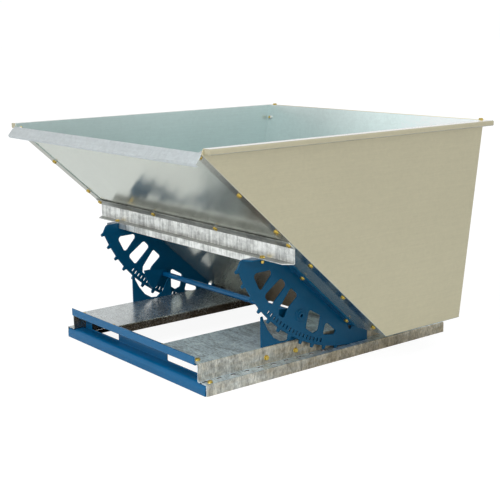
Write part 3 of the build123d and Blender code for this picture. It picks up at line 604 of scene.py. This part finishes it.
CAMERA_PLACE = (3.08854, -2.39607, 1.16472)
CAMERA_FORWARD = (-0.770349, 0.603168, -0.206762)
CAMERA_LEVEL = (0.616489, 0.787362, 0.0)    # to the right, before the roll
CAMERA_ROLL = -0.9283                       # degrees
CAMERA_FIELD = 26.737                       # degrees


def track_shadow(m):
    """1 on the floor shut in below the slotted tracks of the two skids."""
    axes = m.separate(m.coords)
    across = m.between(m.math("ABSOLUTE", axes[0]), *TRACK_X)
    return m.times(across, m.between(axes[1], *TRACK_Y))


def shaded(m, colour, shade):
    """Colour that turns to shade under the object."""
    distance = m.new("VectorMath")
    distance.operation = "LENGTH"
    m.link(m.mapping((1.7, 1.25, 0.0), offset=(0.0, -0.20, 0.0)), distance.inputs[0])
    return m.mix(m.spread(distance.outputs["Value"], 1.0, 0.0, 0.45, 1.0), colour, shade)


def floor_plane(name, height, tone):
    """Large matt floor; its material and colour are handed back for the rest of its look."""
    mesh = bpy.data.meshes.new(name)
    bm = bmesh.new()
    corners = ((-1, -1), (1, -1), (1, 1), (-1, 1))
    bm.faces.new([bm.verts.new((x * FLOOR_HALF, y * FLOOR_HALF, height)) for x, y in corners])
    bm.to_mesh(mesh)
    bm.free()
    obj = bpy.data.objects.new(name, mesh)
    bpy.context.scene.collection.objects.link(obj)
    m = Mat(name)
    m.set(Roughness=0.9)
    mesh.materials.append(m.mat)
    return obj, m, m.mix(m.noise(None, 0.8, 3.0, 0.5), (tone,) * 3, (tone + 0.01,) * 3)


def studio_floor():
    """The floor that lights and reflects in the object, under a pale sheet that only the camera sees."""
    _, m, colour = floor_plane("studio_floor", FLOOR_Z, FLOOR_TONE)
    m.set(Base_Color=shaded(m, colour, UNDER_HOPPER))
    sheet, m, colour = floor_plane("studio_sheet", SHEET_Z, SHEET_TONE)
    dark = track_shadow(m)
    m.set(Base_Color=m.mix(dark, colour, TRACK_SHADOW), Emission_Color=(1.0, 1.0, 1.0))
    m.set(Emission_Strength=m.times(m.math("SUBTRACT", 1.0, dark), SHEET_GLOW))
    sheet.visible_diffuse = False
    sheet.visible_glossy = False
    sheet.visible_transmission = False
    sheet.visible_shadow = False


def area_light(name, at, target, size, power, colour):
    """Square light that faces its target; power in watts."""
    data = bpy.data.lights.new(name, "AREA")
    data.shape = "RECTANGLE"
    data.size = data.size_y = size
    data.energy = power
    data.color = colour
    obj = bpy.data.objects.new(name, data)
    bpy.context.scene.collection.objects.link(obj)
    obj.location = at
    obj.rotation_euler = (Vector(target) - Vector(at)).to_track_quat("-Z", "Y").to_euler()


def studio_world():
    """Soft light from all round, brightest at the horizon."""
    world = bpy.data.worlds.new("studio")
    bpy.context.scene.world = world
    world.use_nodes = True
    tree = world.node_tree
    tree.nodes.clear()
    kinds = ("OutputWorld", "Background", "TexCoord", "SeparateXYZ", "MapRange", "ValToRGB")
    out, background, coords, split, span, ramp = (tree.nodes.new("ShaderNode" + kind) for kind in kinds)
    span.inputs["From Min"].default_value = -1.0
    set_stops(ramp.color_ramp, SKY)
    background.inputs["Strength"].default_value = SKY_STRENGTH
    tree.links.new(coords.outputs["Generated"], split.inputs[0])
    tree.links.new(split.outputs[2], span.inputs["Value"])
    tree.links.new(span.outputs[0], ramp.inputs["Fac"])
    tree.links.new(ramp.outputs[0], background.inputs["Color"])
    tree.links.new(background.outputs[0], out.inputs[0])


def photo_camera():
    """Camera at the photograph's angle."""
    data = bpy.data.cameras.new("camera")
    obj = bpy.data.objects.new("camera", data)
    bpy.context.scene.collection.objects.link(obj)
    data.sensor_width = 36.0
    data.angle = radians(CAMERA_FIELD)
    data.clip_end = 200.0
    forward = Vector(CAMERA_FORWARD).normalized()
    level = Vector(CAMERA_LEVEL).normalized()
    upright = level.cross(forward)
    roll = radians(CAMERA_ROLL)
    right = level * cos(roll) + upright * sin(roll)
    up = upright * cos(roll) - level * sin(roll)
    rotation = Matrix((right, up, -forward)).transposed().to_4x4()
    obj.matrix_world = Matrix.Translation(CAMERA_PLACE) @ rotation
    bpy.context.scene.camera = obj


paint_nodes()
add_welds()
add_spring_leg()
studio_floor()
studio_world()
area_light("key_side", (4.5, 1.5, 3.0), (0.4, 0.0, 0.4), 3.0, 10, (1.0, 0.95, 0.86))
area_light("front_high", (1.0, -3.4, 3.0), (0.0, 0.5, 0.5), 2.5, 110, (0.96, 0.99, 1.0))
photo_camera()
bpy.context.scene.view_settings.view_transform = "Standard"
